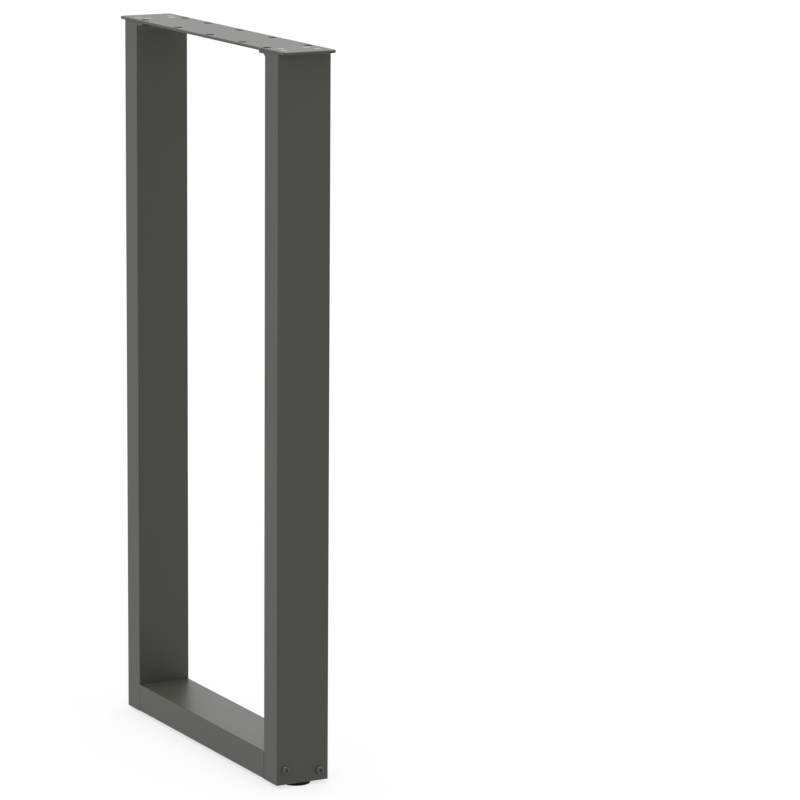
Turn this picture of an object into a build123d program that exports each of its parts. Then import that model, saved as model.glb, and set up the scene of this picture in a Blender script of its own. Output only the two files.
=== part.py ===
from build123d import *
import os

# Steel table leg: two posts of rectangular tube, a bar of the same tube bolted between their
# bottom ends, a drilled plate screwed to their top ends, and a levelling foot under each post.
# Millimetres. X runs across the leg, from the left post to the right one, Y runs along the wide
# side of the tube, and Z is up. The origin is on the floor, midway between the feet.

# Rectangular tube of the posts and of the bottom bar
tube_width = 60.0
tube_depth = 30.0
tube_wall = 2.0
tube_corner_radius = 1.0
least_inner_radius = 0.2

# The whole leg
leg_height = 767.5
frame_width = 360.0

# Top plate
plate_thickness = 3.0
plate_overhang = 13.0
plate_corner_radius = 4.0
plate_edge_break = 0.4

# Holes in the top plate for the screws into a table top
fixing_hole_diameter = 9.5
fixing_row_margin = 6.5
corner_hole_setback = 7.5
middle_hole_pitch = 75.0
middle_hole_count = 3
middle_row_stagger = 12.5

# Head plate on each post, which reaches past the post's inner face
head_plate_thickness = 2.5
head_plate_reach = 13.5
weld_leg = 7.0
weld_hollow = 0.3

# Countersunk screws that hold the top plate to the head plates, the inner pair closer together
plate_screw_diameter = 4.0
plate_screw_head_diameter = 8.0
plate_screw_length = 12.0
plate_screw_sink = 0.1
plate_screw_rim = 0.3
plate_screw_socket = 2.5
plate_screw_socket_depth = 1.6
screw_pair_pitch = 14.5
inner_screw_spacing = 29.0
outer_screw_spacing = 38.0
head_nut_across_flats = 7.0
head_nut_height = 3.2

# Button-head bolts that hold the bar to the posts, one of each pair higher than the other
bar_bolt_diameter = 5.0
bar_bolt_head_diameter = 9.5
bar_bolt_head_height = 2.75
bar_bolt_head_rim = 0.5
bar_bolt_crown_diameter = 5.0
bar_bolt_socket = 3.0
bar_bolt_socket_depth = 1.6
bar_bolt_bite = 10.0
bar_bolt_spacing = 40.0
bar_bolt_stagger = 5.0
bar_bolt_level = 13.0
end_plate_thickness = 6.0
sleeve_diameter = 9.0

# Levelling foot
pad_diameter = 30.0
pad_height = 3.5
pad_edge_radius = 0.4
pad_socket_depth = 2.5
foot_stud_diameter = 8.0
foot_travel = 12.0
foot_stud_tip = 1.5
bottom_plate_thickness = 3.0
foot_nut_across_flats = 13.0
foot_nut_height = 6.5

# Clearances
bolt_clearance = 0.3
screw_clearance = 0.25
thread_clearance = 0.05
insert_clearance = 0.1
head_seat_clearance = 0.05
nut_wall_clearance = 0.2
stud_clearance = 0.5

# Levels
post_bottom = pad_height
plate_bottom = leg_height - plate_thickness
head_plate_bottom = plate_bottom - head_plate_thickness
post_length = head_plate_bottom - post_bottom
bar_level = post_bottom + tube_depth / 2
bottom_plate_top = post_bottom + bottom_plate_thickness
foot_nut_top = bottom_plate_top + foot_nut_height

# Places across the leg
outer_face_x = frame_width / 2
inner_face_x = outer_face_x - tube_depth
post_x = outer_face_x - tube_depth / 2
plate_length = frame_width + 2 * plate_overhang
head_plate_length = tube_depth + head_plate_reach
head_plate_x = outer_face_x - head_plate_length / 2
corner_hole_x = inner_face_x - corner_hole_setback
fixing_row_y = tube_width / 2 - fixing_row_margin

# Sections shared by several pieces
inner_depth = tube_depth - 2 * tube_wall
inner_width = tube_width - 2 * tube_wall
inner_radius = max(tube_corner_radius - tube_wall, least_inner_radius)
insert_depth = inner_depth - 2 * insert_clearance
insert_width = inner_width - 2 * insert_clearance
insert_radius = inner_radius + insert_clearance
fixing_hole_radius = fixing_hole_diameter / 2
bolt_hole_radius = bar_bolt_diameter / 2 + bolt_clearance
screw_hole_radius = plate_screw_diameter / 2 + screw_clearance
screw_head_radius = plate_screw_head_diameter / 2
countersink_radius = screw_head_radius + plate_screw_rim + plate_screw_sink + head_seat_clearance
inner_screw_x = inner_face_x + tube_wall + nut_wall_clearance + head_nut_across_flats / 2
outer_screw_x = inner_screw_x + screw_pair_pitch

# The middle holes form two staggered rows, one the other turned half round
middle_hole_span = middle_hole_pitch * (middle_hole_count - 1)
middle_steps = [i * middle_hole_pitch - middle_hole_span / 2 for i in range(middle_hole_count)]
front_row = [(x + middle_row_stagger, -fixing_row_y) for x in middle_steps]
back_row = [(x - middle_row_stagger, fixing_row_y) for x in middle_steps]

# On a post's outer face, across it and up from the middle of the bar
bolt_drop = tube_depth / 2 - bar_bolt_level
bolt_places = [
    (-bar_bolt_spacing / 2, bar_bolt_stagger / 2 - bolt_drop),
    (bar_bolt_spacing / 2, -bar_bolt_stagger / 2 - bolt_drop),
]

os.makedirs("parts", exist_ok=True)


def screw_places(sign):
    """Where the four plate screws of one post stand, seen from above."""
    pairs = ((inner_screw_x, inner_screw_spacing), (outer_screw_x, outer_screw_spacing))
    return [(sign * x, half * spacing / 2) for x, spacing in pairs for half in (-1, 1)]


def keep(piece, name):
    """Label a finished piece with its node's name and write it as a STEP file."""
    piece.label = name
    export_step(piece, f"parts/{name}.step")


# Section of the tube: depth along the sketch's X, width along its Y
with BuildSketch() as tube_section:
    RectangleRounded(tube_depth, tube_width, tube_corner_radius)
    RectangleRounded(inner_depth, inner_width, inner_radius, mode=Mode.SUBTRACT)

# Outline of the plates that slide into a tube's end
with BuildSketch() as insert_section:
    RectangleRounded(insert_depth, insert_width, insert_radius)

# Top plate, drilled for the table top and countersunk for the screws at both ends
with BuildPart() as top_plate:
    with BuildSketch(Plane.XY.offset(plate_bottom)):
        RectangleRounded(plate_length, tube_width, plate_corner_radius)
    extrude(amount=plate_thickness)
    chamfer(top_plate.faces().filter_by(Axis.Z).edges(), plate_edge_break)
    with Locations(Plane.XY.offset(leg_height)):
        with GridLocations(2 * corner_hole_x, 2 * fixing_row_y, 2, 2):
            Hole(fixing_hole_radius)
        with Locations(*front_row, *back_row):
            Hole(fixing_hole_radius)
        with Locations(*screw_places(-1), *screw_places(1)):
            CounterSinkHole(screw_hole_radius, countersink_radius, counter_sink_angle=90)
keep(top_plate.part, "top_plate")

# Bottom bar, lying flat between the posts
bar_start = Plane(origin=(-inner_face_x, 0, bar_level), x_dir=(0, 0, 1), z_dir=(1, 0, 0))
with BuildPart() as bottom_bar:
    with BuildSketch(bar_start):
        add(tube_section.sketch)
    extrude(amount=2 * inner_face_x)
keep(bottom_bar.part, "bottom_bar")

# Countersunk screw with a hexagon socket, the top of its head at the origin and its shank downwards
screw_radius = plate_screw_diameter / 2
screw_cone_end = plate_screw_rim + screw_head_radius - screw_radius
with BuildPart() as plate_screw:
    with BuildSketch(Plane.XZ):
        with BuildLine():
            Polyline(
                (0, 0),
                (screw_head_radius, 0),
                (screw_head_radius, -plate_screw_rim),
                (screw_radius, -screw_cone_end),
                (screw_radius, -plate_screw_length),
                (0, -plate_screw_length),
                close=True,
            )
        make_face()
    revolve(axis=Axis.Z)
    with BuildSketch():
        RegularPolygon(plate_screw_socket / 2, 6, major_radius=False)
    extrude(amount=-plate_screw_socket_depth, mode=Mode.SUBTRACT)

# Button-head bolt with a hexagon socket, its head standing on the origin and its shank downwards
bolt_radius = bar_bolt_diameter / 2
bolt_head_radius = bar_bolt_head_diameter / 2
bolt_crown_radius = bar_bolt_crown_diameter / 2
bolt_length = tube_depth + bar_bolt_bite
with BuildPart() as bar_bolt:
    with BuildSketch(Plane.XZ):
        with BuildLine():
            rim = Polyline(
                (0, -bolt_length),
                (bolt_radius, -bolt_length),
                (bolt_radius, 0),
                (bolt_head_radius, 0),
                (bolt_head_radius, bar_bolt_head_rim),
            )
            crown = TangentArc(rim @ 1, (bolt_crown_radius, bar_bolt_head_height), tangent=rim % 1)
            Polyline(crown @ 1, (0, bar_bolt_head_height), (0, -bolt_length))
        make_face()
    revolve(axis=Axis.Z)
    with BuildSketch(Plane.XY.offset(bar_bolt_head_height)):
        RegularPolygon(bar_bolt_socket / 2, 6, major_radius=False)
    extrude(amount=-bar_bolt_socket_depth, mode=Mode.SUBTRACT)

# Hexagon weld nut for a plate screw, hanging from the origin
with BuildPart() as head_nut:
    with BuildSketch():
        RegularPolygon(head_nut_across_flats / 2, 6, major_radius=False, rotation=30)
        Circle(screw_radius + thread_clearance, mode=Mode.SUBTRACT)
    extrude(amount=-head_nut_height)

# Spacer sleeve, from the outer wall's inside at the origin down to the inner wall
with BuildPart() as spacer_sleeve:
    with BuildSketch():
        Circle(sleeve_diameter / 2)
        Circle(bolt_hole_radius, mode=Mode.SUBTRACT)
    extrude(amount=-inner_depth)

for side, sign in (("left", -1), ("right", 1)):
    outward = (sign, 0, 0)
    across = (0, sign, 0)
    outer_face = Plane(origin=(sign * outer_face_x, 0, bar_level), x_dir=across, z_dir=outward)
    inner_face = Plane(origin=(sign * inner_face_x, 0, bar_level), x_dir=across, z_dir=outward)
    foot_axis = Axis((sign * post_x, 0, 0), (0, 0, 1))
    post_base = Plane(origin=(sign * post_x, 0, post_bottom))

    # Post, with a bolt hole through both walls for each bar bolt
    with BuildPart() as post:
        with BuildSketch(post_base):
            add(tube_section.sketch)
        extrude(amount=post_length)
        with BuildSketch(outer_face):
            with Locations(*bolt_places):
                Circle(bolt_hole_radius)
        extrude(amount=-tube_depth, mode=Mode.SUBTRACT)
    keep(post.part, f"{side}_post")

    # Head plate, flush with the post's outer face, its tongue drilled with the top plate
    with BuildPart() as head_plate:
        with BuildSketch(Plane(origin=(sign * head_plate_x, 0, head_plate_bottom))):
            RectangleRounded(head_plate_length, tube_width, tube_corner_radius)
        extrude(amount=head_plate_thickness)
        with BuildSketch(Plane(origin=(sign * corner_hole_x, 0, head_plate_bottom))):
            with GridLocations(0, 2 * fixing_row_y, 1, 2):
                Circle(fixing_hole_radius)
        extrude(amount=head_plate_thickness, mode=Mode.SUBTRACT)
        with BuildSketch(Plane.XY.offset(head_plate_bottom)):
            with Locations(*screw_places(sign)):
                Circle(screw_hole_radius)
        extrude(amount=head_plate_thickness, mode=Mode.SUBTRACT)
    keep(head_plate.part, f"{side}_head_plate")

    # Hollow fillet weld between the post's inner face and the tongue, cleared where the holes come through
    weld_corner = (sign * inner_face_x, head_plate_bottom)
    weld_toe = (sign * (inner_face_x - weld_leg), head_plate_bottom)
    weld_root = (sign * inner_face_x, head_plate_bottom - weld_leg)
    weld_sag = weld_hollow * weld_leg
    weld_middle = (sign * (inner_face_x - weld_sag), head_plate_bottom - weld_sag)
    with BuildPart() as head_weld:
        with BuildSketch(Plane.XZ):
            with BuildLine():
                Polyline(weld_root, weld_corner, weld_toe)
                ThreePointArc(weld_toe, weld_middle, weld_root)
            make_face()
        extrude(amount=tube_width / 2 - tube_corner_radius, both=True)
        with BuildSketch(Plane(origin=(sign * corner_hole_x, 0, head_plate_bottom))):
            with GridLocations(0, 2 * fixing_row_y, 1, 2):
                Circle(fixing_hole_radius)
        extrude(amount=-weld_leg, mode=Mode.SUBTRACT)
    keep(head_weld.part, f"{side}_head_weld")

    # Weld nuts under the head plate, inside the tube
    with BuildPart(Plane.XY.offset(head_plate_bottom)) as head_nuts:
        with Locations(*screw_places(sign)):
            add(head_nut.part)
    keep(head_nuts.part, f"{side}_head_nuts")

    # Plate screws, their heads just below the top of the plate
    with BuildPart(Plane.XY.offset(leg_height - plate_screw_sink)) as plate_screws:
        with Locations(*screw_places(sign)):
            add(plate_screw.part)
    keep(plate_screws.part, f"{side}_plate_screws")

    # Tapped plate welded into the bar's end
    with BuildPart() as bar_end_plate:
        with BuildSketch(inner_face):
            add(insert_section.sketch, rotation=90)
            with Locations(*bolt_places):
                Circle(bolt_radius + thread_clearance, mode=Mode.SUBTRACT)
        extrude(amount=-end_plate_thickness)
    keep(bar_end_plate.part, f"{side}_bar_end_plate")

    # Spacer sleeves between the post's walls
    with BuildPart(outer_face.offset(-tube_wall)) as spacer_sleeves:
        with Locations(*bolt_places):
            add(spacer_sleeve.part)
    keep(spacer_sleeves.part, f"{side}_spacer_sleeves")

    # Bar bolts, through the post and its sleeves into the tapped plate
    with BuildPart(outer_face) as bar_bolts:
        with Locations(*bolt_places):
            add(bar_bolt.part)
    keep(bar_bolts.part, f"{side}_bar_bolts")

    # Bottom plate, flush in the post's lower end
    with BuildPart() as bottom_plate:
        with BuildSketch(post_base):
            add(insert_section.sketch)
            Circle(foot_stud_diameter / 2 + stud_clearance, mode=Mode.SUBTRACT)
        extrude(amount=bottom_plate_thickness)
    keep(bottom_plate.part, f"{side}_bottom_plate")

    # Weld nut on the bottom plate, which the foot's stud screws into
    with BuildPart() as foot_nut:
        with BuildSketch(post_base.offset(bottom_plate_thickness)):
            RegularPolygon(foot_nut_across_flats / 2, 6, major_radius=False)
            Circle(foot_stud_diameter / 2 + thread_clearance, mode=Mode.SUBTRACT)
        extrude(amount=foot_nut_height)
    keep(foot_nut.part, f"{side}_foot_nut")

    # Foot stud, long enough to stay in its nut when the foot is screwed right out
    stud_bottom = pad_height - pad_socket_depth
    stud_top = foot_nut_top + foot_travel + foot_stud_tip
    with BuildPart() as foot_stud:
        with BuildSketch(Plane(origin=(sign * post_x, 0, stud_bottom))):
            Circle(foot_stud_diameter / 2)
        extrude(amount=stud_top - stud_bottom)
        chamfer(foot_stud.faces().sort_by(Axis.Z)[-1].edges(), foot_stud_tip)
    keep(foot_stud.part, f"{side}_foot_stud")

    # Foot pad, moulded round the stud's end, screwed in until it meets the post
    pad_radius = pad_diameter / 2
    pad_foot_radius = pad_radius - pad_edge_radius
    pad_socket_radius = foot_stud_diameter / 2 + thread_clearance
    with BuildPart() as foot_pad:
        with BuildSketch(Plane(origin=(sign * post_x, 0, 0), x_dir=(1, 0, 0), z_dir=(0, -1, 0))):
            with BuildLine():
                Polyline((0, 0), (pad_foot_radius, 0))
                RadiusArc((pad_foot_radius, 0), (pad_radius, pad_edge_radius), -pad_edge_radius)
                Polyline(
                    (pad_radius, pad_edge_radius),
                    (pad_radius, pad_height),
                    (pad_socket_radius, pad_height),
                    (pad_socket_radius, stud_bottom),
                    (0, stud_bottom),
                    (0, 0),
                )
            make_face()
        revolve(axis=foot_axis)
    keep(foot_pad.part, f"{side}_foot_pad")
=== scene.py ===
"""Finishes the steel table leg and sets it on a white studio stage.

The frame holds the leg's solids at their real size. This file gives every one of them its finish, puts
finer surfaces in the places of the turned and moulded pieces, and adds floor, light and camera.
Metres throughout, in the frame's own axes: X across the leg, Y along the wide side of the tube, Z up.
"""

import math
from typing import NamedTuple

import bpy
import numpy as np
from bpy.props import FloatProperty, FloatVectorProperty, IntProperty, PointerProperty
from bpy.types import Operator, Panel, PropertyGroup
from mathutils import Matrix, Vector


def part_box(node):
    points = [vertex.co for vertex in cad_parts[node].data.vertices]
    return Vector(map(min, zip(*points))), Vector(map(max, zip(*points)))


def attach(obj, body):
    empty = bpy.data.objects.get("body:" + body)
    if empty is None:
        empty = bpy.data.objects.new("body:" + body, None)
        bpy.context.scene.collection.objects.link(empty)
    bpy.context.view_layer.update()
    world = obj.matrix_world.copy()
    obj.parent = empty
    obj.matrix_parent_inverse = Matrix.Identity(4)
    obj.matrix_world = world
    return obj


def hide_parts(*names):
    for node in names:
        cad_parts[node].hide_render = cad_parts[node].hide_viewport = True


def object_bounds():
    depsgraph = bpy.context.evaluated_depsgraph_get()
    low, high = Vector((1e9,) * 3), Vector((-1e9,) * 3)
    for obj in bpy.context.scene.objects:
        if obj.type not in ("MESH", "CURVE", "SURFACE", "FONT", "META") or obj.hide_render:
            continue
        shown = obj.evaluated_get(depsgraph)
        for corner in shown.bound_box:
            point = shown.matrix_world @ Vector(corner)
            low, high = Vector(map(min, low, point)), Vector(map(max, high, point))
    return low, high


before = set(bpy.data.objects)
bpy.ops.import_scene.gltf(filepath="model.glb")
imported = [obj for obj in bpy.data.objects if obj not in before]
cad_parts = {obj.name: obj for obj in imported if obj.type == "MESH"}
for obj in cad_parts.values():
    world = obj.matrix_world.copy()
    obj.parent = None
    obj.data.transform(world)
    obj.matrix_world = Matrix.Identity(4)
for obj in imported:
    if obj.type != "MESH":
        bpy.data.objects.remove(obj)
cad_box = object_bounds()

bl_info = {
    "name": "Steel Table Leg",
    "version": (1, 0, 0),
    "blender": (4, 5, 0),
    "location": "3D View > Sidebar > Table Leg",
    "description": "Coats the table leg, adds its threads, sockets and feet, and lights it",
    "category": "Object",
}

SIDES = {"left": -1.0, "right": 1.0}
COATED_NODES = ["top_plate", "bottom_bar"] + [
    f"{side}_{piece}" for side in SIDES for piece in ("post", "head_plate", "head_weld", "bottom_plate")
]
ZINC_NODES = [f"{side}_{piece}" for side in SIDES for piece in ("head_nuts", "spacer_sleeves", "foot_nut")]
BARE_NODES = [f"{side}_bar_end_plate" for side in SIDES]

TURN = 2.0 * math.pi
SIXTH = TURN / 6.0
COLUMNS = 72
ANGLES = np.linspace(0.0, TURN, COLUMNS, endpoint=False)
SMOOTH_ANGLE = math.radians(32.0)

# Rows of points on the curved stretches of the turned pieces
ROWS_PER_PITCH = 8
HEAD_ARC_ROWS = 12
DOME_ROWS = 8
ROWS_PER_GROOVE = 12
PAD_EDGE_ROWS = 7
PAD_TOP_EDGE_ROWS = 5

# A metric thread: flat crest and root as shares of the pitch, and the thread's depth in pitches
CREST_SHARE = 0.125
ROOT_SHARE = 0.25
THREAD_DEPTH = 0.613

# Directions in which the turned pieces stand
ALONG_X = (1.0, 0.0, 0.0)
ALONG_Y = (0.0, 1.0, 0.0)
UPWARDS = (0.0, 0.0, 1.0)

WHITE = (1.0, 1.0, 1.0, 1.0)
FLOOR_STEPS = 5
CAMERA_REACH = 100.0


def span(node):
    """Lowest and highest corner of a solid of the frame, as two arrays."""
    low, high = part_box(node)
    return np.array(low), np.array(high)


# Sizes and finishes that a user would change


def length(label, description, default):
    """A size in metres."""
    return FloatProperty(
        name=label,
        description=description,
        default=default,
        min=0.0,
        precision=5,
        unit="LENGTH",
        subtype="DISTANCE",
    )


def share(label, description, default):
    """A number from nothing to all."""
    return FloatProperty(
        name=label,
        description=description,
        default=default,
        min=0.0,
        max=1.0,
        subtype="FACTOR",
    )


def strength(label, description, default):
    """A level of light."""
    return FloatProperty(name=label, description=description, default=default, min=0.0)


def colour(label, description, default):
    """A linear colour."""
    return FloatVectorProperty(
        name=label,
        description=description,
        default=default,
        size=3,
        min=0.0,
        max=1.0,
        subtype="COLOR",
    )


def angle(label, description, degrees):
    """An angle, kept in radians."""
    return FloatProperty(
        name=label,
        description=description,
        default=math.radians(degrees),
        subtype="ANGLE",
    )


class LegBoltSizes(PropertyGroup):
    """Details of the bar bolts that the frame's solids don't hold."""

    thread: length("Thread", "Outer diameter of the bolt's thread", 0.005)
    pitch: length("Pitch", "Distance from one crest of the thread to the next", 0.0008)
    thread_length: length("Thread Length", "Length of the shank's threaded end", 0.016)
    head: length("Head", "Diameter of the button head", 0.0095)
    rim: length("Rim", "Height of the head's upright rim", 0.0005)
    head_flat: length("Head Flat", "Diameter of the flat on top of the head", 0.005)
    socket: length("Socket", "Width across flats of the head's socket", 0.003)
    socket_depth: length("Socket Depth", "Depth of the head's socket", 0.0016)
    edge_break: length("Edge Break", "Small chamfer on socket, rim and shank end", 0.0002)


class LegScrewSizes(PropertyGroup):
    """Details of the plate screws that the frame's solids don't hold."""

    thread: length("Thread", "Outer diameter of the screw's thread", 0.004)
    pitch: length("Pitch", "Distance from one crest of the thread to the next", 0.0007)
    head: length("Head", "Diameter of the countersunk head", 0.008)
    rim: length("Rim", "Height of the head's upright rim", 0.0003)
    dome: length("Dome", "How far the middle of the head is raised", 0.0003)
    socket: length("Socket", "Width across flats of the head's socket", 0.0025)
    socket_depth: length("Socket Depth", "Depth of the head's socket", 0.0016)
    inner_spacing: length("Inner Spacing", "Distance between the two screws nearer the leg's middle", 0.029)
    edge_break: length("Edge Break", "Small chamfer on socket, rim and shank end", 0.0002)


class LegFootSizes(PropertyGroup):
    """Details of the threaded studs and of the moulded pads."""

    stud_pitch: length("Stud Pitch", "Distance from one crest of the stud's thread to the next", 0.00125)
    stud_tip: length("Stud Tip", "Length of the chamfer at the top of the stud", 0.0015)
    stud_break: length("Stud Edge", "Small chamfer at the stud's lower end", 0.0003)
    pad_edge: length("Pad Edge", "Radius of the pad's lower edge", 0.0004)
    pad_top_edge: length("Pad Top Edge", "Radius of the pad's upper edge", 0.0004)
    groove_depth: length("Groove Depth", "Depth of the grip rings under the pad", 0.0004)
    groove_count: IntProperty(
        name="Grooves",
        description="Number of grip rings under the pad",
        default=4,
        min=1,
    )


class LegFinishes(PropertyGroup):
    """Colours, roughness and grain of the finishes."""

    coat: colour("Powder Coat", "Anthracite powder coat of the frame", (0.029, 0.0308, 0.0228))
    coat_pale: colour("Powder Coat, Pale", "The coat where it lies thinner", (0.0316, 0.0334, 0.0255))
    coat_roughness: share("Coat Roughness", "Roughness of the powder coat where it flowed out well", 0.40)
    coat_roughness_high: share("Coat Roughness, High", "Roughness of the powder coat where it is drier", 0.44)
    coat_peel: length("Coat Peel", "Size of the coat's fine peel", 0.0013)
    coat_peel_height: length("Coat Peel Height", "Height of the coat's fine peel", 0.000002)
    bolt: colour("Bolt", "Dark finish of the bar bolts", (0.033, 0.035, 0.027))
    bolt_pale: colour("Bolt, Pale", "The bolts' finish where it is rubbed", (0.045, 0.046, 0.038))
    zinc: colour("Zinc", "Zinc plating of nuts, studs and sleeves", (0.62, 0.63, 0.64))
    zinc_pale: colour("Zinc, Pale", "Brighter flecks of the zinc plating", (0.74, 0.74, 0.73))
    dull_zinc: colour("Dull Zinc", "Plating of the plate screws, dulled in an oven", (0.31, 0.31, 0.30))
    dull_zinc_pale: colour("Dull Zinc, Pale", "Brighter flecks of the dulled plating", (0.38, 0.38, 0.37))
    steel: colour("Bare Steel", "Bare steel of the tapped plates", (0.42, 0.42, 0.41))
    steel_pale: colour("Bare Steel, Pale", "Brighter flecks of the bare steel", (0.52, 0.52, 0.50))
    plastic: colour("Pad Plastic", "Black moulded plastic of the pads", (0.003, 0.003, 0.003))
    plastic_pale: colour("Pad Plastic, Pale", "The plastic where its grain is raised", (0.005, 0.005, 0.005))


class LegStageSettings(PropertyGroup):
    """Floor, light and camera."""

    floor_size: length("Floor Size", "Side of the square floor", 60.0)
    floor: colour("Floor", "Pale floor", (0.16, 0.16, 0.16))
    floor_lift: share("Floor Lift", "Light added to the floor where it is seen, which makes it white", 0.72)
    floor_glow: share("Floor Glow", "Soft light from the floor onto the leg, as from a lit table", 0.65)
    sky_level: strength("Sky Level", "Level of the white light all round", 1.0)
    lamp_level: strength("Lamp Level", "Irradiance of the soft overhead light", 2.6)
    lamp_spread: angle("Lamp Spread", "Width of the soft overhead light as seen from the leg", 70.0)
    lamp_tilt: angle("Lamp Tilt", "How far the light leans from straight overhead", 4.0)
    lamp_heading: angle("Lamp Heading", "Side it leans to, from the front towards the right", 45.0)
    back_level: strength("Back Light Level", "Irradiance of the soft light from behind", 0.5)
    back_spread: angle("Back Light Spread", "Width of the light from behind as seen from the leg", 60.0)
    back_tilt: angle("Back Light Tilt", "How far the light from behind leans from straight overhead", 45.0)
    back_heading: angle("Back Light Heading", "Side it leans to, from the front towards the right", 225.0)
    lens: FloatProperty(
        name="Lens",
        description="Focal length for a 36 mm sensor",
        default=192.71,
        min=1.0,
        unit="CAMERA",
    )
    camera_place: FloatVectorProperty(
        name="Camera Place",
        description="Where the camera stands",
        default=(3.9844, -1.9905, 1.2587),
        size=3,
        unit="LENGTH",
        subtype="TRANSLATION",
    )
    camera_heading: angle("Heading", "Turn of the camera about the upright axis", 61.068)
    camera_dip: angle("Dip", "How far the camera looks down", 11.189)
    camera_roll: angle("Roll", "Turn of the camera about its own line of sight", 0.437)


# Surfaces


def circle(radius):
    """A ring's radius at every column: the same all round."""
    return np.full(COLUMNS, radius)


def hexagon(half_width):
    """A ring's radius at every column: the half width over the cosine of the angle off the nearest flat."""
    return half_width / np.cos(ANGLES % SIXTH - SIXTH / 2.0)


def turned(heights, radii):
    """A turned form standing on Z: each row is a ring at its height, with its radius at every angle."""
    height = np.broadcast_to(np.asarray(heights)[:, None], np.shape(radii))
    return np.stack([radii * np.cos(ANGLES), radii * np.sin(ANGLES), height], axis=-1)


def rings(rows):
    """A turned form from a list of (height, radius at every column)."""
    return turned([row[0] for row in rows], np.array([row[1] for row in rows]))


def thread(start, end, radius, pitch):
    """A threaded length. The phase of a point is its height over the pitch, less its angle over a full turn.
    The radius falls from crest to root in straight flanks by that phase, with a flat crest an eighth of the
    pitch wide and a flat root a quarter wide, and the thread runs out over one pitch at both ends."""
    steps = int(round(abs(end - start) / pitch * ROWS_PER_PITCH)) + 1
    heights = np.linspace(start, end, steps)
    phase = (heights[:, None] / pitch - ANGLES / TURN) % 1.0
    off_crest = 1.0 - np.abs(2.0 * phase - 1.0)
    fall = np.clip((off_crest - CREST_SHARE) / (1.0 - CREST_SHARE - ROOT_SHARE), 0.0, 1.0)
    run_out = np.clip(np.minimum(abs(heights - start), abs(heights - end)) / pitch, 0.0, 1.0)
    return turned(heights, radius - THREAD_DEPTH * pitch * fall * run_out[:, None])


def closed_shell(stack):
    """Closes a stack of rings: quads from each ring to the next, and a fan to the middle of both end rings.
    The faces are turned round if the signed volume, the sum of their corner products, comes out negative."""
    count, columns = stack.shape[:2]
    here = np.arange(count * columns).reshape(count, columns)
    beside = np.roll(here, -1, axis=1)
    quads = np.stack([here[:-1], beside[:-1], beside[1:], here[1:]], axis=-1).reshape(-1, 4)
    middle = np.full(columns, count * columns)
    first_fan = np.stack([beside[0], here[0], middle], axis=-1)
    last_fan = np.stack([here[-1], beside[-1], middle + 1], axis=-1)
    fans = np.concatenate([first_fan, last_fan])
    middles = [stack[0].mean(axis=0), stack[-1].mean(axis=0)]
    points = np.concatenate([stack.reshape(-1, 3), middles])
    corners = np.concatenate([quads[:, [0, 1, 2]], quads[:, [0, 2, 3]], fans])
    first_corner = points[corners[:, 0]]
    across = np.cross(points[corners[:, 1]], points[corners[:, 2]])
    if np.einsum("ij,ij->i", first_corner, across).sum() < 0.0:
        quads = quads[:, ::-1]
        fans = fans[:, ::-1]
    return points, quads, fans


def placed(stack, place, across, up):
    """Stands a form with its Z along up and its X along across, at a place."""
    turn = np.stack([across, np.cross(up, across), up])
    return stack @ turn + np.array(place)


def add_piece(name, shells, finish, body, node):
    """Joins closed shells into one object that stands for a solid of the frame and moves with its body."""
    points = []
    faces = []
    base = 0
    for shell_points, quads, fans in shells:
        points.append(shell_points)
        faces += (quads + base).tolist() + (fans + base).tolist()
        base += len(shell_points)
    mesh = bpy.data.meshes.new(name)
    mesh.from_pydata(np.concatenate(points), [], faces)
    mesh.update()
    mesh.shade_smooth()
    mesh.set_sharp_from_angle(angle=SMOOTH_ANGLE)
    mesh.materials.append(finish)
    piece = bpy.data.objects.new(name, mesh)
    bpy.context.scene.collection.objects.link(piece)
    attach(piece, body)
    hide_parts(node)


def button_screw(sizes, head_height, shank_length):
    """A button-head screw, its seat at the origin and its shank downwards. From the middle of the socket the
    rows go up its six walls, over a chamfer to the flat on top, down an arc that stands upright on the rim,
    in under the head and down the shank to its threaded end. The arc's radius is the sum of the squares of
    its drop and rise over twice the drop."""
    bevel = sizes.edge_break
    socket = sizes.socket / 2.0
    shank = sizes.thread / 2.0
    head_radius = sizes.head / 2.0
    drop = head_radius - sizes.head_flat / 2.0
    rise = head_height - sizes.rim
    arc_radius = (drop**2 + rise**2) / (2.0 * drop)
    arc = np.linspace(math.asin(rise / arc_radius), 0.0, HEAD_ARC_ROWS)
    arc_heights = sizes.rim + arc_radius * np.sin(arc)
    arc_radii = head_radius - arc_radius * (1.0 - np.cos(arc))
    thread_start = sizes.thread_length - shank_length
    head = [
        (head_height - sizes.socket_depth, hexagon(socket)),
        (head_height - bevel, hexagon(socket)),
        (head_height, hexagon(socket) + bevel / 2.0),
    ]
    head += [(h, circle(r)) for h, r in zip(arc_heights, arc_radii)]
    head += [
        (bevel, circle(head_radius)),
        (0.0, circle(head_radius - bevel)),
        (0.0, circle(shank)),
        (thread_start + bevel, circle(shank)),
    ]
    threaded = thread(thread_start, 2.0 * bevel - shank_length, shank, sizes.pitch)
    tip = [(bevel - shank_length, circle(shank)), (-shank_length, circle(shank - bevel))]
    return np.concatenate([rings(head), threaded, rings(tip)])


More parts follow.
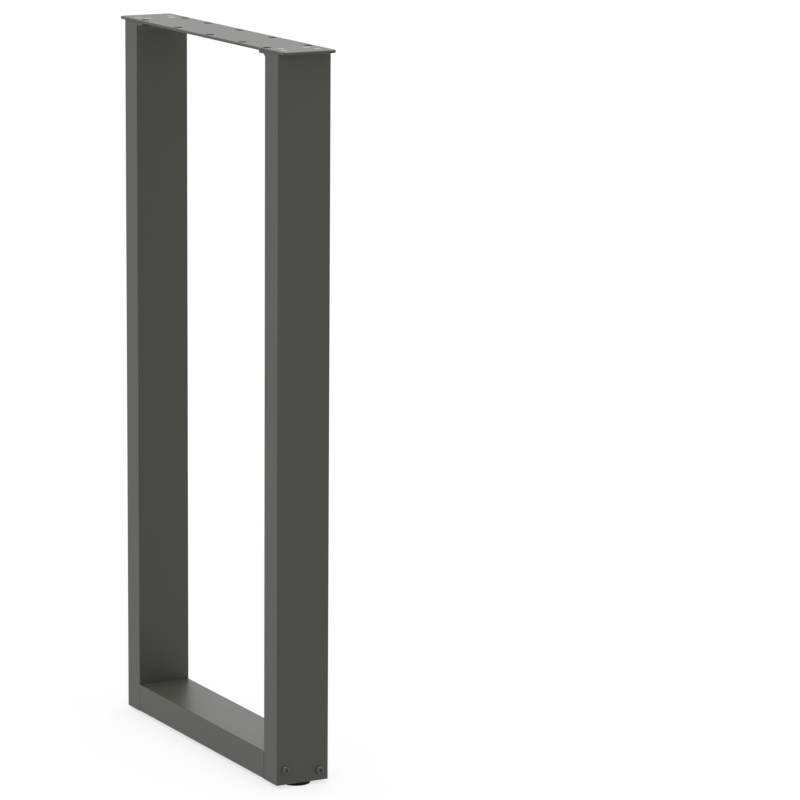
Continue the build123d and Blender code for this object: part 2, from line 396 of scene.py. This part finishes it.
def countersunk_screw(sizes, screw_length):
    """A countersunk screw, the top of its rim at the origin and its shank downwards. From the middle of the
    socket the rows go up its six walls, out over the slightly raised head, whose height falls with the square
    of the radius, then down the rim and the cone and down the thread."""
    bevel = sizes.edge_break
    socket = sizes.socket / 2.0
    head = sizes.head / 2.0
    shank = sizes.thread / 2.0
    cone_end = shank - head - sizes.rim
    spread = np.linspace((socket + bevel) / math.cos(SIXTH / 2.0), head - bevel, DOME_ROWS)
    domes = sizes.dome * (1.0 - (spread / head) ** 2)
    top = [
        (sizes.dome - sizes.socket_depth, hexagon(socket)),
        (domes[0] - bevel, hexagon(socket)),
        (domes[0], hexagon(socket + bevel / 2.0)),
    ]
    top += [(h, circle(r)) for h, r in zip(domes, spread)]
    top += [(-bevel / 2.0, circle(head)), (-sizes.rim, circle(head)), (cone_end, circle(shank))]
    tip = [(bevel - screw_length, circle(shank)), (-screw_length, circle(shank - bevel))]
    threaded = thread(cone_end - bevel, 2.0 * bevel - screw_length, shank, sizes.pitch)
    return np.concatenate([rings(top), threaded, rings(tip)])


def foot_stud(sizes, radius, stud_length):
    """A threaded stud from the origin up: a small chamfer, the thread, and a long chamfer at its top, each a
    radius that changes evenly with the height."""
    bevel = sizes.stud_break
    tip = sizes.stud_tip
    foot = [(0.0, circle(radius - bevel)), (bevel, circle(radius))]
    top = [(stud_length - tip, circle(radius)), (stud_length, circle(radius - tip))]
    threaded = thread(2.0 * bevel, stud_length - tip - bevel, radius, sizes.stud_pitch)
    return np.concatenate([rings(foot), threaded, rings(top)])


def foot_pad(sizes, radius, height, socket_radius, socket_floor):
    """A moulded pad. Under it the height follows one less the cosine of the radius, which makes the grip
    rings. Then the rows go round the lower edge, up the side, round the upper edge and down into the stud's
    socket. Both edges are quarter circles."""
    edge = sizes.pad_edge
    top_edge = sizes.pad_top_edge
    flat = radius - edge
    grooves = sizes.groove_count
    spread = np.linspace(flat / (2.0 * grooves), flat, ROWS_PER_GROOVE * grooves)
    wave = sizes.groove_depth * (0.5 - 0.5 * np.cos(TURN * grooves * spread / flat))
    rows = [(h, circle(r)) for h, r in zip(wave, spread)]
    lower = np.linspace(0.0, TURN / 4.0, PAD_EDGE_ROWS + 1)[1:]
    upper = np.linspace(0.0, TURN / 4.0, PAD_TOP_EDGE_ROWS)
    rows += [(edge - edge * math.cos(q), circle(flat + edge * math.sin(q))) for q in lower]
    rows += [
        (height - top_edge + top_edge * math.sin(q), circle(radius - top_edge + top_edge * math.cos(q)))
        for q in upper
    ]
    rows += [(height, circle(socket_radius)), (socket_floor, circle(socket_radius))]
    return rings(rows)


# Finishes


def new_group(name, inputs, outputs):
    """An empty shader group with named sockets, and its input and output nodes."""
    group = bpy.data.node_groups.new(name, "ShaderNodeTree")
    for label, kind in inputs:
        group.interface.new_socket(label, in_out="INPUT", socket_type=kind)
    for label, kind in outputs:
        group.interface.new_socket(label, in_out="OUTPUT", socket_type=kind)
    return group, group.nodes.new("NodeGroupInput"), group.nodes.new("NodeGroupOutput")


def noise(group, coordinates, size, detail):
    """A noise whose features have a size in metres, which a socket gives."""
    inverse = group.nodes.new("ShaderNodeMath")
    inverse.operation = "DIVIDE"
    inverse.inputs[0].default_value = 1.0
    group.links.new(size, inverse.inputs[1])
    texture = group.nodes.new("ShaderNodeTexNoise")
    texture.inputs["Detail"].default_value = detail
    group.links.new(coordinates, texture.inputs["Vector"])
    group.links.new(inverse.outputs[0], texture.inputs["Scale"])
    return texture.outputs["Fac"]


def stretched(group, value, low, high):
    """A value from low to high, spread from 0 to 1."""
    spread = group.nodes.new("ShaderNodeMapRange")
    spread.inputs["From Min"].default_value = low
    spread.inputs["From Max"].default_value = high
    group.links.new(value, spread.inputs["Value"])
    return spread.outputs["Result"]


# Sockets of a Mix node for each kind of data: first input, second input and result
MIX_FACTOR = 0
MIX_SOCKETS = {"FLOAT": (2, 3, 0), "RGBA": (6, 7, 2)}


def mixed(group, kind, mask, first, second):
    """The first value or colour where the mask is 0 and the second where it is 1."""
    first_socket, second_socket, result_socket = MIX_SOCKETS[kind]
    mix = group.nodes.new("ShaderNodeMix")
    mix.data_type = kind
    group.links.new(mask, mix.inputs[MIX_FACTOR])
    group.links.new(first, mix.inputs[first_socket])
    group.links.new(second, mix.inputs[second_socket])
    return mix.outputs[result_socket]


LOOK_INPUTS = [
    ("Colour", "NodeSocketColor"),
    ("Pale Colour", "NodeSocketColor"),
    ("Low Roughness", "NodeSocketFloat"),
    ("High Roughness", "NodeSocketFloat"),
    ("Grain Size", "NodeSocketFloat"),
    ("Cloud Size", "NodeSocketFloat"),
]
LOOK_OUTPUTS = [
    ("Colour", "NodeSocketColor"),
    ("Roughness", "NodeSocketFloat"),
    ("Height", "NodeSocketFloat"),
]
CLOUD_DETAIL = 3.0
CLOUD_RANGE = (0.35, 0.65)
GRAIN_DETAIL = 2.0
GRAIN_RANGE = (0.3, 0.7)


def surface_look():
    """The group behind every finish: broad clouds and fine grain that vary colour, roughness and height."""
    group, given, result = new_group("surface_look", LOOK_INPUTS, LOOK_OUTPUTS)
    place = group.nodes.new("ShaderNodeTexCoord").outputs["Object"]
    cloud = stretched(group, noise(group, place, given.outputs["Cloud Size"], CLOUD_DETAIL), *CLOUD_RANGE)
    grain = stretched(group, noise(group, place, given.outputs["Grain Size"], GRAIN_DETAIL), *GRAIN_RANGE)
    both = group.nodes.new("ShaderNodeMath")
    both.operation = "MULTIPLY"
    group.links.new(cloud, both.inputs[0])
    group.links.new(grain, both.inputs[1])
    mask = both.outputs[0]
    tone = mixed(group, "RGBA", mask, given.outputs["Colour"], given.outputs["Pale Colour"])
    rough = mixed(group, "FLOAT", mask, given.outputs["Low Roughness"], given.outputs["High Roughness"])
    group.links.new(tone, result.inputs["Colour"])
    group.links.new(rough, result.inputs["Roughness"])
    group.links.new(grain, result.inputs["Height"])
    return group


class Grain(NamedTuple):
    """How a finish varies: its roughness at both tones, and in metres the size and height of its grain and
    the size of its clouds."""

    low_roughness: float
    high_roughness: float
    size: float
    height: float
    cloud: float


COAT_CLOUD = 0.06
BOLT_GRAIN = Grain(low_roughness=0.13, high_roughness=0.19, size=0.0006, height=0.000002, cloud=0.004)
ZINC_GRAIN = Grain(low_roughness=0.28, high_roughness=0.40, size=0.0005, height=0.000003, cloud=0.006)
DULL_ZINC_GRAIN = Grain(low_roughness=0.40, high_roughness=0.48, size=0.0005, height=0.000002, cloud=0.004)
STEEL_GRAIN = Grain(low_roughness=0.35, high_roughness=0.5, size=0.0009, height=0.000006, cloud=0.012)
PLASTIC_GRAIN = Grain(low_roughness=0.6, high_roughness=0.75, size=0.0005, height=0.00002, cloud=0.01)
PAINTED = 0.0
METAL = 1.0
USUAL_SPECULAR = 0.5
PLASTIC_SPECULAR = 0.1


def finish_material(name, colours, grain, metallic, specular=USUAL_SPECULAR):
    """A material that takes colour, roughness and bump from the shared look, with its own values."""
    material = bpy.data.materials.new(name)
    material.use_nodes = True
    tree = material.node_tree
    shader = tree.nodes["Principled BSDF"]
    shader.inputs["Metallic"].default_value = metallic
    shader.inputs["Specular IOR Level"].default_value = specular
    look = tree.nodes.new("ShaderNodeGroup")
    look.node_tree = bpy.data.node_groups.get("surface_look") or surface_look()
    look.inputs["Colour"].default_value = (*colours[0], 1.0)
    look.inputs["Pale Colour"].default_value = (*colours[1], 1.0)
    look.inputs["Low Roughness"].default_value = grain.low_roughness
    look.inputs["High Roughness"].default_value = grain.high_roughness
    look.inputs["Grain Size"].default_value = grain.size
    look.inputs["Cloud Size"].default_value = grain.cloud
    bump = tree.nodes.new("ShaderNodeBump")
    bump.inputs["Distance"].default_value = grain.height
    tree.links.new(look.outputs["Colour"], shader.inputs["Base Color"])
    tree.links.new(look.outputs["Roughness"], shader.inputs["Roughness"])
    tree.links.new(look.outputs["Height"], bump.inputs["Height"])
    tree.links.new(bump.outputs["Normal"], shader.inputs["Normal"])
    return material


def powder_coat(finishes):
    """Satin anthracite powder coat with a fine peel."""
    grain = Grain(
        low_roughness=finishes.coat_roughness,
        high_roughness=finishes.coat_roughness_high,
        size=finishes.coat_peel,
        height=finishes.coat_peel_height,
        cloud=COAT_CLOUD,
    )
    return finish_material("powder_coat_satin", (finishes.coat, finishes.coat_pale), grain, PAINTED)


def bolt_finish(finishes):
    """Dark coated steel of the button heads."""
    return finish_material("bolt_dark_steel", (finishes.bolt, finishes.bolt_pale), BOLT_GRAIN, PAINTED)


def zinc_plating(finishes):
    """Bright zinc plating with fine flecks, made once for nuts and sleeves and used again for the studs."""
    ready = bpy.data.materials.get("zinc_plating")
    return ready or finish_material("zinc_plating", (finishes.zinc, finishes.zinc_pale), ZINC_GRAIN, METAL)


def screw_plating(finishes):
    """Dull zinc plating of the plate screws."""
    colours = (finishes.dull_zinc, finishes.dull_zinc_pale)
    return finish_material("dull_zinc", colours, DULL_ZINC_GRAIN, METAL)


def bare_steel(finishes):
    """Bare rolled steel."""
    return finish_material("bare_rolled_steel", (finishes.steel, finishes.steel_pale), STEEL_GRAIN, METAL)


def pad_plastic(finishes):
    """Black plastic with the fine grain of its mould."""
    colours = (finishes.plastic, finishes.plastic_pale)
    return finish_material("pad_black_plastic", colours, PLASTIC_GRAIN, PAINTED, PLASTIC_SPECULAR)


def dress(nodes, material):
    """Gives solids of the frame a finish in their own material slots."""
    for node in nodes:
        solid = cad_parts[node]
        for slot in solid.material_slots:
            slot.material = material


# Operators, one for each piece or group of like pieces and one for the stage


class LEG_OT_coat_frame(Operator):
    """Coats the plate, posts, bar, head plates, welds and bottom plates."""

    bl_idname = "leg.coat_frame"
    bl_label = "Coat Frame"

    def execute(self, context):
        dress(COATED_NODES, powder_coat(context.scene.leg_finishes))
        return {"FINISHED"}


class LEG_OT_finish_inner_steel(Operator):
    """Finishes the nuts, sleeves and tapped plates inside the tubes."""

    bl_idname = "leg.finish_inner_steel"
    bl_label = "Finish Inner Steel"

    def execute(self, context):
        finishes = context.scene.leg_finishes
        dress(ZINC_NODES, zinc_plating(finishes))
        dress(BARE_NODES, bare_steel(finishes))
        return {"FINISHED"}


class LEG_OT_bar_bolts(Operator):
    """Makes the button-head bolts, two on the outer face of each post."""

    bl_idname = "leg.bar_bolts"
    bl_label = "Bar Bolts"

    def execute(self, context):
        sizes = context.scene.leg_bolts
        finish = bolt_finish(context.scene.leg_finishes)
        for side, sign in SIDES.items():
            node = f"{side}_bar_bolts"
            low, high = span(node)
            post_low, post_high = span(f"{side}_post")
            ends = {1.0: (high[0], post_high[0], low[0]), -1.0: (low[0], post_low[0], high[0])}
            head_end, seat, shank_end = ends[sign]
            bolt = button_screw(sizes, abs(head_end - seat), abs(seat - shank_end))
            middle = (low + high) / 2.0
            reach = (high - low - sizes.head) / 2.0
            places = [
                (seat, middle[1] - end * sign * reach[1], middle[2] + end * reach[2]) for end in (-1.0, 1.0)
            ]
            shells = [closed_shell(placed(bolt, place, ALONG_Y, (sign, 0.0, 0.0))) for place in places]
            add_piece(f"{side}_button_bolts", shells, finish, "frame", node)
        return {"FINISHED"}


class LEG_OT_plate_screws(Operator):
    """Makes the countersunk screws, four at each end of the top plate."""

    bl_idname = "leg.plate_screws"
    bl_label = "Plate Screws"

    def execute(self, context):
        sizes = context.scene.leg_screws
        finish = screw_plating(context.scene.leg_finishes)
        for side, sign in SIDES.items():
            node = f"{side}_plate_screws"
            low, high = span(node)
            middle = (low + high) / 2.0
            reach = (high - low - sizes.head) / 2.0
            screw = countersunk_screw(sizes, high[2] - low[2])
            pairs = [(-sign * reach[0], sizes.inner_spacing / 2.0), (sign * reach[0], reach[1])]
            places = [
                (middle[0] + x, middle[1] + end * y, high[2]) for x, y in pairs for end in (-1.0, 1.0)
            ]
            shells = [closed_shell(placed(screw, place, ALONG_X, UPWARDS)) for place in places]
            add_piece(f"{side}_countersunk_screws", shells, finish, "frame", node)
        return {"FINISHED"}


class LEG_OT_foot_studs(Operator):
    """Makes the threaded studs of the levelling feet."""

    bl_idname = "leg.foot_studs"
    bl_label = "Foot Studs"

    def execute(self, context):
        sizes = context.scene.leg_feet
        finish = zinc_plating(context.scene.leg_finishes)
        for side in SIDES:
            node = f"{side}_foot_stud"
            low, high = span(node)
            middle = (low + high) / 2.0
            stud = foot_stud(sizes, (high[0] - low[0]) / 2.0, high[2] - low[2])
            place = (middle[0], middle[1], low[2])
            shells = [closed_shell(placed(stud, place, ALONG_X, UPWARDS))]
            add_piece(f"{side}_threaded_stud", shells, finish, f"{side}_foot", node)
        return {"FINISHED"}


class LEG_OT_foot_pads(Operator):
    """Makes the moulded pads of the levelling feet."""

    bl_idname = "leg.foot_pads"
    bl_label = "Foot Pads"

    def execute(self, context):
        sizes = context.scene.leg_feet
        finish = pad_plastic(context.scene.leg_finishes)
        for side in SIDES:
            node = f"{side}_foot_pad"
            low, high = span(node)
            middle = (low + high) / 2.0
            stud_low, stud_high = span(f"{side}_foot_stud")
            stud_radius = (stud_high[0] - stud_low[0]) / 2.0
            pad = foot_pad(sizes, (high[0] - low[0]) / 2.0, high[2] - low[2], stud_radius, stud_low[2])
            place = (middle[0], middle[1], low[2])
            shells = [closed_shell(placed(pad, place, ALONG_X, UPWARDS))]
            add_piece(f"{side}_moulded_pad", shells, finish, f"{side}_foot", node)
        return {"FINISHED"}


def seen_ray(tree):
    """A mask that is 1 for what the camera sees, straight, mirrored or through glass."""
    path = tree.nodes.new("ShaderNodeLightPath")
    mask = path.outputs["Is Camera Ray"]
    for ray in ("Is Glossy Ray", "Is Transmission Ray"):
        larger = tree.nodes.new("ShaderNodeMath")
        larger.operation = "MAXIMUM"
        tree.links.new(mask, larger.inputs[0])
        tree.links.new(path.outputs[ray], larger.inputs[1])
        mask = larger.outputs[0]
    return mask


def floor_material(stage):
    """Pale matt floor that keeps shadows, is lifted to white where it is seen, glows softly onto the leg and
    is clear from below. Its emission is the glow, and the lift instead where a ray is seen."""
    material = bpy.data.materials.new("pale_floor")
    material.use_nodes = True
    tree = material.node_tree
    shader = tree.nodes["Principled BSDF"]
    shader.inputs["Base Color"].default_value = (*stage.floor, 1.0)
    shader.inputs["Roughness"].default_value = 1.0
    shader.inputs["Specular IOR Level"].default_value = 0.0
    shader.inputs["Emission Color"].default_value = WHITE
    lift = tree.nodes.new("ShaderNodeMath")
    lift.operation = "MULTIPLY_ADD"
    lift.inputs[1].default_value = stage.floor_lift - stage.floor_glow
    lift.inputs[2].default_value = stage.floor_glow
    tree.links.new(seen_ray(tree), lift.inputs[0])
    tree.links.new(lift.outputs[0], shader.inputs["Emission Strength"])
    clear = tree.nodes.new("ShaderNodeBsdfTransparent")
    side = tree.nodes.new("ShaderNodeNewGeometry")
    choice = tree.nodes.new("ShaderNodeMixShader")
    tree.links.new(side.outputs["Backfacing"], choice.inputs[0])
    tree.links.new(shader.outputs[0], choice.inputs[1])
    tree.links.new(clear.outputs[0], choice.inputs[2])
    tree.links.new(choice.outputs[0], tree.nodes["Material Output"].inputs["Surface"])
    return material


class LEG_OT_stage(Operator):
    """Makes the pale floor, the soft white light and the camera."""

    bl_idname = "leg.stage"
    bl_label = "Stage"

    def execute(self, context):
        stage = context.scene.leg_stage
        self.add_floor(context, stage)
        self.add_sky(context, stage)
        self.add_lamp(
            context,
            "overhead_light",
            stage.lamp_level,
            stage.lamp_spread,
            stage.lamp_tilt,
            stage.lamp_heading,
        )
        self.add_lamp(
            context,
            "back_light",
            stage.back_level,
            stage.back_spread,
            stage.back_tilt,
            stage.back_heading,
        )
        self.add_camera(context, stage)
        context.scene.view_settings.view_transform = "Standard"
        return {"FINISHED"}

    def add_floor(self, context, stage):
        """A flat square grid at the level the pads stand on."""
        across = np.linspace(-stage.floor_size / 2.0, stage.floor_size / 2.0, FLOOR_STEPS)
        x, y = np.meshgrid(across, across)
        points = np.stack([x, y, np.full_like(x, cad_box[0][2])], axis=-1).reshape(-1, 3)
        here = np.arange(FLOOR_STEPS**2).reshape(FLOOR_STEPS, FLOOR_STEPS)
        corners = [here[:-1, :-1], here[:-1, 1:], here[1:, 1:], here[1:, :-1]]
        quads = np.stack(corners, axis=-1).reshape(-1, 4)
        mesh = bpy.data.meshes.new("floor")
        mesh.from_pydata(points, [], quads.tolist())
        mesh.materials.append(floor_material(stage))
        floor = bpy.data.objects.new("floor", mesh)
        context.scene.collection.objects.link(floor)

    def add_sky(self, context, stage):
        """White light from all round."""
        world = bpy.data.worlds.new("white_studio")
        world.use_nodes = True
        background = world.node_tree.nodes["Background"]
        background.inputs["Color"].default_value = WHITE
        background.inputs["Strength"].default_value = stage.sky_level
        context.scene.world = world

    def add_lamp(self, context, name, level, spread, tilt, heading):
        """A wide soft light that leans from straight overhead towards one side."""
        data = bpy.data.lights.new(name, "SUN")
        data.energy = level
        data.angle = spread
        lamp = bpy.data.objects.new(name, data)
        lamp.matrix_world = Matrix.Rotation(heading, 4, "Z") @ Matrix.Rotation(tilt, 4, "X")
        context.scene.collection.objects.link(lamp)

    def add_camera(self, context, stage):
        """The camera at the photograph's viewing angle: turned, dipped and rolled about its own place."""
        data = bpy.data.cameras.new("camera")
        data.lens = stage.lens
        data.clip_end = CAMERA_REACH
        camera = bpy.data.objects.new("camera", data)
        heading = Matrix.Rotation(stage.camera_heading, 4, "Z")
        dip = Matrix.Rotation(math.pi / 2.0 - stage.camera_dip, 4, "X")
        roll = Matrix.Rotation(stage.camera_roll, 4, "Z")
        camera.matrix_world = Matrix.Translation(stage.camera_place) @ heading @ dip @ roll
        context.scene.collection.objects.link(camera)
        context.scene.camera = camera


class LEG_PT_sidebar(Panel):
    """Lists the steps that finish the leg."""

    bl_idname = "LEG_PT_sidebar"
    bl_label = "Steel Table Leg"
    bl_space_type = "VIEW_3D"
    bl_region_type = "UI"
    bl_category = "Table Leg"

    def draw(self, context):
        column = self.layout.column()
        for step in STEPS:
            column.operator(step.bl_idname)


STEPS = [
    LEG_OT_coat_frame,
    LEG_OT_finish_inner_steel,
    LEG_OT_bar_bolts,
    LEG_OT_plate_screws,
    LEG_OT_foot_studs,
    LEG_OT_foot_pads,
    LEG_OT_stage,
]
SETTINGS = {
    "leg_bolts": LegBoltSizes,
    "leg_screws": LegScrewSizes,
    "leg_feet": LegFootSizes,
    "leg_finishes": LegFinishes,
    "leg_stage": LegStageSettings,
}


def register():
    """Registers settings, operators and panel."""
    for settings in SETTINGS.values():
        bpy.utils.register_class(settings)
    for name, settings in SETTINGS.items():
        setattr(bpy.types.Scene, name, PointerProperty(type=settings))
    for item in [*STEPS, LEG_PT_sidebar]:
        bpy.utils.register_class(item)


def unregister():
    """Takes panel, operators and settings out again."""
    for item in [LEG_PT_sidebar, *reversed(STEPS)]:
        bpy.utils.unregister_class(item)
    for name, settings in SETTINGS.items():
        delattr(bpy.types.Scene, name)
        bpy.utils.unregister_class(settings)


def main():
    """Runs every step in order."""
    register()
    bpy.ops.leg.coat_frame()
    bpy.ops.leg.finish_inner_steel()
    bpy.ops.leg.bar_bolts()
    bpy.ops.leg.plate_screws()
    bpy.ops.leg.foot_studs()
    bpy.ops.leg.foot_pads()
    bpy.ops.leg.stage()


if __name__ == "__main__":
    main()
